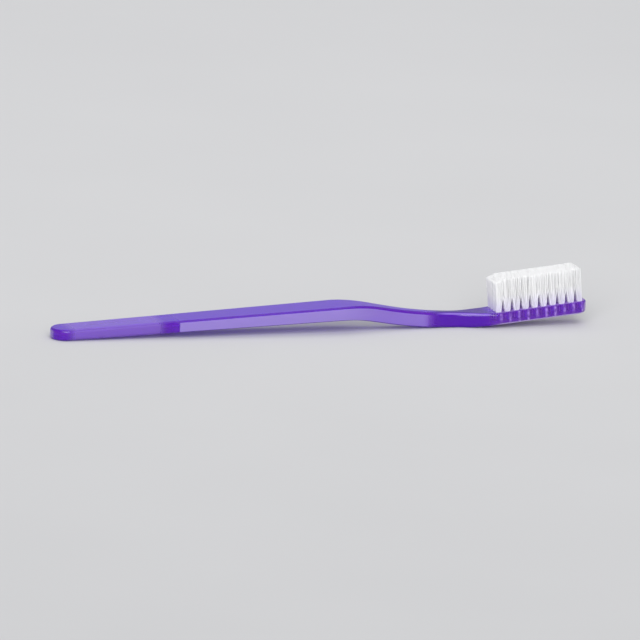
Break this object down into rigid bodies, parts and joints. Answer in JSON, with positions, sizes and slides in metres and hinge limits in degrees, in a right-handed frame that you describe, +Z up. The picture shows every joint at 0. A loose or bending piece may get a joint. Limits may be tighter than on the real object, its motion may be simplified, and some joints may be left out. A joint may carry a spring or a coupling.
{
  "type": "toothbrush",
  "caption": "Manual toothbrush with a slim transparent handle, side grip panels, an angled neck and a flat-trimmed bristle head.",
  "frame": {"origin": "centre of the bounding box at its bottom, on the surface the brush lies on", "axes": "+X from the tail of the handle to the tip of the head, +Z up out of the bristle side, +Y across the brush"},
  "size_m": [0.18, 0.0134, 0.019],
  "materials": {
    "clear_handle": "clear tinted purple polymer, moulded and polished",
    "bristles": "translucent white nylon filaments, end-rounded",
    "anchor_metal": "nickel silver strip, cut edges"
  },
  "bodies": {
    "root": {"anchors_row1": "anchor_metal", "anchors_row2": "anchor_metal", "anchors_row3": "anchor_metal", "anchors_row4": "anchor_metal", "handle": "clear_handle", "tuft_row1_01": "bristles", "tuft_row1_02": "bristles", "tuft_row1_03": "bristles", "tuft_row1_04": "bristles", "tuft_row1_05": "bristles", "tuft_row1_06": "bristles", "tuft_row1_07": "bristles", "tuft_row1_08": "bristles", "tuft_row1_09": "bristles", "tuft_row1_10": "bristles", "tuft_row2_01": "bristles", "tuft_row2_02": "bristles", "tuft_row2_03": "bristles", "tuft_row2_04": "bristles", "tuft_row2_05": "bristles", "tuft_row2_06": "bristles", "tuft_row2_07": "bristles", "tuft_row2_08": "bristles", "tuft_row2_09": "bristles", "tuft_row2_10": "bristles", "tuft_row3_01": "bristles", "tuft_row3_02": "bristles", "tuft_row3_03": "bristles", "tuft_row3_04": "bristles", "tuft_row3_05": "bristles", "tuft_row3_06": "bristles", "tuft_row3_07": "bristles", "tuft_row3_08": "bristles", "tuft_row3_09": "bristles", "tuft_row3_10": "bristles", "tuft_row4_01": "bristles", "tuft_row4_02": "bristles", "tuft_row4_03": "bristles", "tuft_row4_04": "bristles", "tuft_row4_05": "bristles", "tuft_row4_06": "bristles", "tuft_row4_07": "bristles", "tuft_row4_08": "bristles", "tuft_row4_09": "bristles", "tuft_row4_10": "bristles"}
  },
  "joints": []
}
